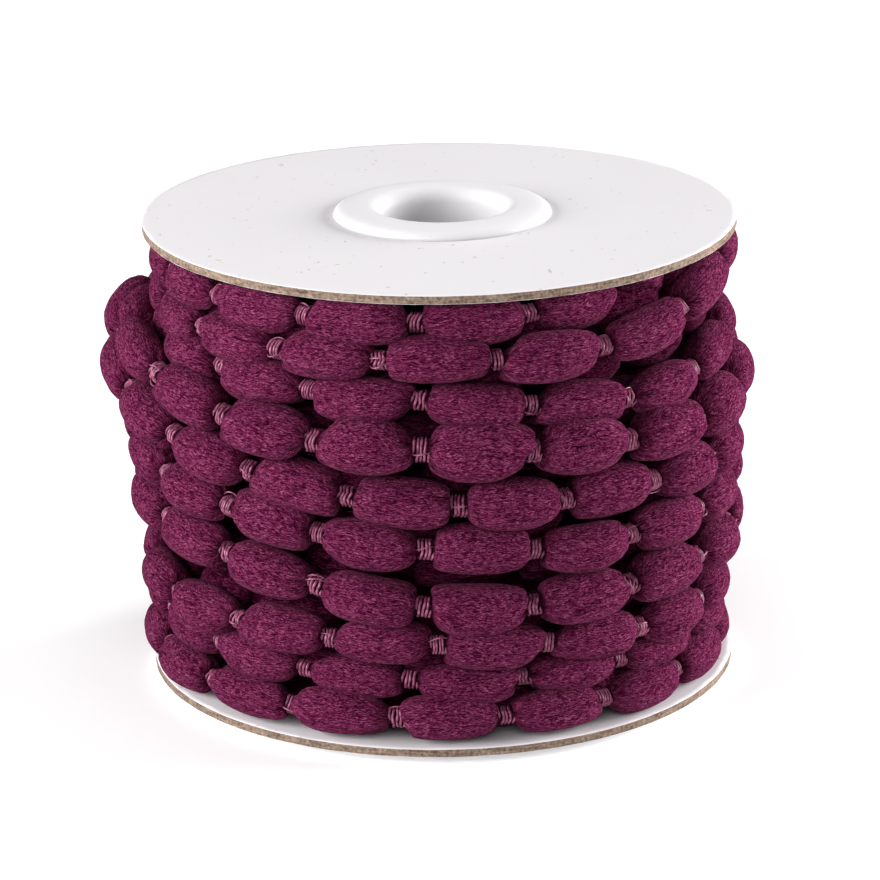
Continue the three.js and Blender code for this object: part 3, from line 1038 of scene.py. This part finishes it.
# %% Flanges
FLANGE_STEPS = 360
FACE_RADII = (18.0, 26.0, 34.0, 41.0, 46.0, 49.0)
# Steps of the cut edge: how far it stands back from the rim, and its height.
RIM = ((-0.05, 0.0), (0.0, 0.05), (-0.02, 0.25), (-0.06, 0.5),
       (-0.04, 0.75), (-0.08, 1.0), (0.0, 1.35), (-0.05, 1.4))
ROUGH, ROUGH_EVEN, ROUGH_MOST, PAPER_ROUGH = 0.045, 1.7, 0.03, 0.4
WARP_FROM, WARP_OVER = 20, 30
LOWER_WARP, UPPER_WARP, UPPER_SHIFT = 0.12, 0.22, 0.25


def flange_profile(low):
    """Rows of radius and height, from the hole out under the disc and back over it."""
    across = (TUBE_RADIUS + FIT + HUB_LEAN, *FACE_RADII)
    return np.array([
        *[(radius, low) for radius in across],
        *[(FLANGE_RADIUS + back, low + height) for back, height in RIM],
        *[(radius, low + BOARD) for radius in across[::-1]],
    ])


def flange(name, node, low, warp, bearing, shift):
    """One board with a warp in millimetres at its rim, shifted to the right."""
    profile = flange_profile(low)
    rows, first = len(profile), len(FACE_RADII) + 1
    angle = circle(FLANGE_STEPS)
    radius = np.repeat(profile[:, :1], FLANGE_STEPS, 1)
    height = np.repeat(profile[:, 1:], FLANGE_STEPS, 1)
    rough = chance.normal(0, ROUGH, (len(RIM), FLANGE_STEPS))
    rough = (rough + np.roll(rough, 1, 1) + np.roll(rough, -1, 1)) / ROUGH_EVEN
    rough[[0, 1, -2, -1]] *= PAPER_ROUGH
    radius[first:first + len(RIM)] += np.minimum(rough, ROUGH_MOST)
    bend = np.cos(2 * (angle - np.radians(bearing)))[None, :]
    height = height + warp * (np.clip(radius - WARP_FROM, 0, None) / WARP_OVER) ** 2 * bend
    points = np.stack([radius * np.cos(angle), radius * np.sin(angle), height], -1) + shift * RIGHT
    order = np.append(np.arange(rows), 0)
    lay = flipped(grid_lay(profile[order].sum(1), FLANGE_RADIUS * closed(angle)))
    band = np.repeat(np.arange(rows), FLANGE_STEPS)
    picked = (band >= first + 1) & (band < first + len(RIM) - 2)
    grid = (points.reshape(-1, 3), ring_faces(rows, FLANGE_STEPS), lay)
    piece = new_piece(name, grid, [PAPER, EDGE], picked)
    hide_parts(node)
    return piece


lower = flange("lower_board", "flange_bottom", LOWER_FACE, LOWER_WARP, TIDY_SIDE, 0.0)
upper = flange("upper_board", "flange_top", UPPER_FACE - BOARD, UPPER_WARP, TIDY_SIDE, UPPER_SHIFT)
print("boards:", lower.name, upper.name)

# %% [markdown]
# ## Hub
#
# The hub is one white moulding: a tube with a softly domed collar at each end and a
# rounded mouth. It stands a little askew, so its top sits to the right of the
# middle. A screw modifier could turn it, but here it is turned from a profile as
# arrays, since the slope of the profile also gives the painted shade of its steep walls.

# %% Hub
HUB_STEPS = 128
MOUTH_STEPS, DOME_STEPS = 9, 15
DOME_SPREAD, DOME_POWER = 0.6, 3.4
COLLAR_LIFT, COLLAR_UNDER = 0.03, 0.2
LAY_OF_HUB = 20


def rounding(radius, height, size, start):
    """A quarter of a circle round this radius and height, from a start in degrees."""
    angle = np.radians(start) + np.linspace(0, np.pi / 2, MOUTH_STEPS)
    return np.stack([radius + size * np.cos(angle), height + size * np.sin(angle)], -1)


mouth, low = BORE_RADIUS + MOUTH_ROUND, LOWER_FACE - COLLAR_LIFT
slope = np.linspace(0, 1, DOME_STEPS)[1:] ** DOME_SPREAD
dome = np.stack([mouth + (COLLAR_RADIUS - mouth) * slope, low * (1 - slope**DOME_POWER) ** 0.5], -1)
dome = np.concatenate([dome, [[COLLAR_RADIUS - COLLAR_UNDER, 0.0], [TUBE_RADIUS, 0.0]]])
profile = np.concatenate([
    rounding(mouth, MOUTH_ROUND, MOUTH_ROUND, 180),
    dome * (1, -1) + (0, low),
    dome[::-1] + (0, SPOOL_HEIGHT - low),
    rounding(mouth, SPOOL_HEIGHT - MOUTH_ROUND, MOUTH_ROUND, 90),
])
rows, angle = len(profile), circle(HUB_STEPS)
level = np.repeat(profile[:, 1:], HUB_STEPS, 1)
points = np.stack([profile[:, :1] * np.cos(angle), profile[:, :1] * np.sin(angle), level], -1)
points = points + HUB_LEAN * points[..., 2:] / SPOOL_HEIGHT * RIGHT
lay = flipped(grid_lay(np.arange(rows + 1.0), LAY_OF_HUB * closed(angle)))
# Painted shade: the steeper the profile, the darker the wall, the bore most of all.
run, rise = np.abs(np.roll(profile, -1, 0) - np.roll(profile, 1, 0)).T
steep = np.repeat(rise / np.hypot(run, rise), HUB_STEPS)
grid = (points.reshape(-1, 3), ring_faces(rows, HUB_STEPS), lay)
hub = new_piece("moulded_hub", grid, [PLASTIC], shade=steep)
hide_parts("hub")
print("hub rows:", rows)

# %% [markdown]
# ## Floor
#
# The object stands on a plain white sweep. Lamps alone would leave it grey far off
# and dark near the object, so the floor also glows a little, and more with distance,
# and so reads as plain white.

# %% Floor
FLOOR_HALF = 3.0
FLOOR_LOW, FLOOR_HIGH = (0.93, 0.93, 0.93), (0.95, 0.95, 0.95)
GLOW_UNDER, GLOW_NEAR, GLOW_FAR = (0.5, 0.5, 0.5), (1.0, 1.0, 1.0), (3.2, 3.2, 3.2)


def white_floor(start):
    place = piece_place(start)
    away = place.node("ShaderNodeVectorMath", {"operation": "LENGTH"}, {0: place}, "Value")
    near = away.band(0.1, 0.6).mixed(GLOW_UNDER, GLOW_NEAR)
    return start.node("ShaderNodeBsdfPrincipled", {}, {
        "Base Color": place.noise(8.0, 1.0).mixed(FLOOR_LOW, FLOOR_HIGH),
        "Roughness": 0.8, "Specular IOR Level": 0.1,
        "Emission Color": away.band(0.5, 1.2).mixed(near, GLOW_FAR), "Emission Strength": 0.3,
    })


mesh = bpy.data.meshes.new("floor")
corners = [(x * FLOOR_HALF, y * FLOOR_HALF, 0) for x, y in ((-1, -1), (1, -1), (1, 1), (-1, 1))]
mesh.from_pydata(corners, [], [(0, 1, 2, 3)])
mesh.materials.append(new_finish("white floor", white_floor))
floor = bpy.data.objects.new("floor", mesh)
bpy.context.scene.collection.objects.link(floor)
print("floor made,", 2 * FLOOR_HALF, "metres wide")

# %% [markdown]
# ## Light
#
# Wide soft boxes at the left and right give bright flanks, a slightly darker middle
# and deep gaps between the turns. A weak one in front opens the shadows, and a weak
# one above lights the upper board. A picture of a studio could light it too, but
# four boxes with bearings in degrees are easier to follow. The world is almost dark.

# %% Light
WORLD_GLOW = 0.02
MIDDLE = Vector((0.0, 0.0, 0.042))
LAMPS = (
    {"name": "left box", "bearing": -69, "rise": 18, "away": 0.9, "wide": 0.8, "tall": 0.5, "power": 14.8},
    {"name": "right box", "bearing": 106, "rise": 12, "away": 0.9, "wide": 0.8, "tall": 0.45, "power": 21.5},
    {"name": "front box", "bearing": 0, "rise": 30, "away": 0.9, "wide": 0.6, "tall": 0.4, "power": 1.9},
    {"name": "top box", "bearing": 0, "rise": 88, "away": 1.2, "wide": 0.5, "tall": 0.5, "power": 2.0},
)
scene = bpy.context.scene
scene.view_settings.view_transform = "Standard"
world = bpy.data.worlds.new("studio")
scene.world = world
world.use_nodes = True
background = world.node_tree.nodes["Background"].inputs
background["Color"].default_value = (1.0, 1.0, 1.0, 1.0)
background["Strength"].default_value = WORLD_GLOW
for lamp in LAMPS:
    light = bpy.data.lights.new(lamp["name"], "AREA")
    light.shape = "RECTANGLE"
    light.size, light.size_y = lamp["wide"], lamp["tall"]
    light.energy = lamp["power"]
    holder = bpy.data.objects.new(lamp["name"], light)
    side, rise = np.radians(TIDY_SIDE + lamp["bearing"]), np.radians(lamp["rise"])
    back = Vector((np.sin(side) * np.cos(rise), -np.cos(side) * np.cos(rise), np.sin(rise)))
    holder.location = MIDDLE + back * lamp["away"]
    holder.rotation_euler = back.to_track_quat("Z", "Y").to_euler()
    scene.collection.objects.link(holder)
print("lamps:", [lamp["name"] for lamp in LAMPS])

# %% [markdown]
# ## Camera
#
# The camera has the place that fits both flange outlines: 18 degrees above the
# level, with a long lens and a slight roll. It could track an empty, but a matrix
# from its own three directions holds the roll as well. It is set up facing along
# +Y and then turned to the tidy side.

# %% Camera
RISE, ROLL, AWAY = np.radians(18.0), np.radians(-0.76), 713.2
TARGET = Vector((-0.13, 0.0, 37.99 + LOWER_FACE))
SENSOR = 36.0
FOCAL_PIXELS, PICTURE_PIXELS = 4161, 880
back = Vector((0.0, -np.cos(RISE), np.sin(RISE)))
right = Vector((1.0, 0.0, 0.0))
up = back.cross(right)
right, up = np.cos(ROLL) * right + np.sin(ROLL) * up, np.cos(ROLL) * up - np.sin(ROLL) * right
pose = Matrix((right, up, back)).transposed().to_4x4()
pose.translation = (TARGET + back * AWAY) * MM
camera = bpy.data.objects.new("camera", bpy.data.cameras.new("camera"))
camera.data.sensor_width = SENSOR
camera.data.lens = SENSOR * FOCAL_PIXELS / PICTURE_PIXELS
camera.matrix_world = Matrix.Rotation(np.radians(TIDY_SIDE), 4, "Z") @ pose
scene.collection.objects.link(camera)
scene.camera = camera
print("camera at", [round(v, 3) for v in camera.matrix_world.translation])

# %% End
print("scene built")
